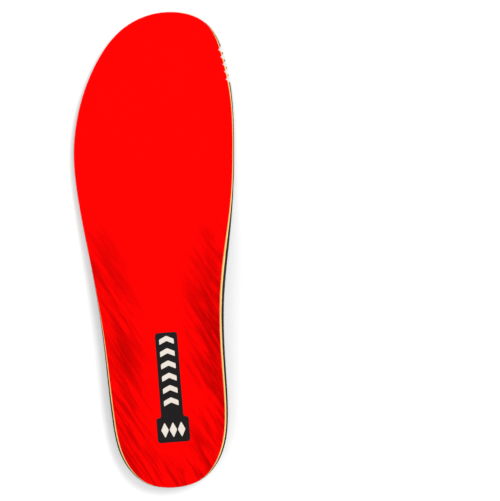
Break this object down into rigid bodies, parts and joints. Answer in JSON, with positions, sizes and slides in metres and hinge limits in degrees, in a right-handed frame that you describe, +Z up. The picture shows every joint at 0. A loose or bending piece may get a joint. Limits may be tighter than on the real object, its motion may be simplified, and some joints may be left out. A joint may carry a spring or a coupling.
{
  "type": "cushioned insole",
  "caption": "Full-length cushioned shoe insole for a left foot, with heel cup, arch support, knitted cover and patterned cushion pad underneath.",
  "frame": {"origin": "middle of the bounding box's bottom face, on the surface that the insole lies on", "axes": "+Z up through the cover, +Y towards the toe, +X towards the inner (arch) side of the foot"},
  "size_m": [0.0966, 0.2857, 0.0213],
  "materials": {
    "cover_knit": "brushed knit",
    "badge_print": "matte heat transfer print",
    "bonding_film": "translucent hot-melt film",
    "comfort_foam": "open-cell foam",
    "shell_foam": "moulded foam with fine texture",
    "cushion_gel": "satin elastomer"
  },
  "bodies": {
    "root": {"top_cover": "cover_knit", "heel_badge": "badge_print", "cover_film": "bonding_film", "comfort_foam": "comfort_foam", "foam_film": "bonding_film", "base_shell": "shell_foam", "pad_film": "bonding_film", "cushion_pad": "cushion_gel"}
  },
  "joints": []
}
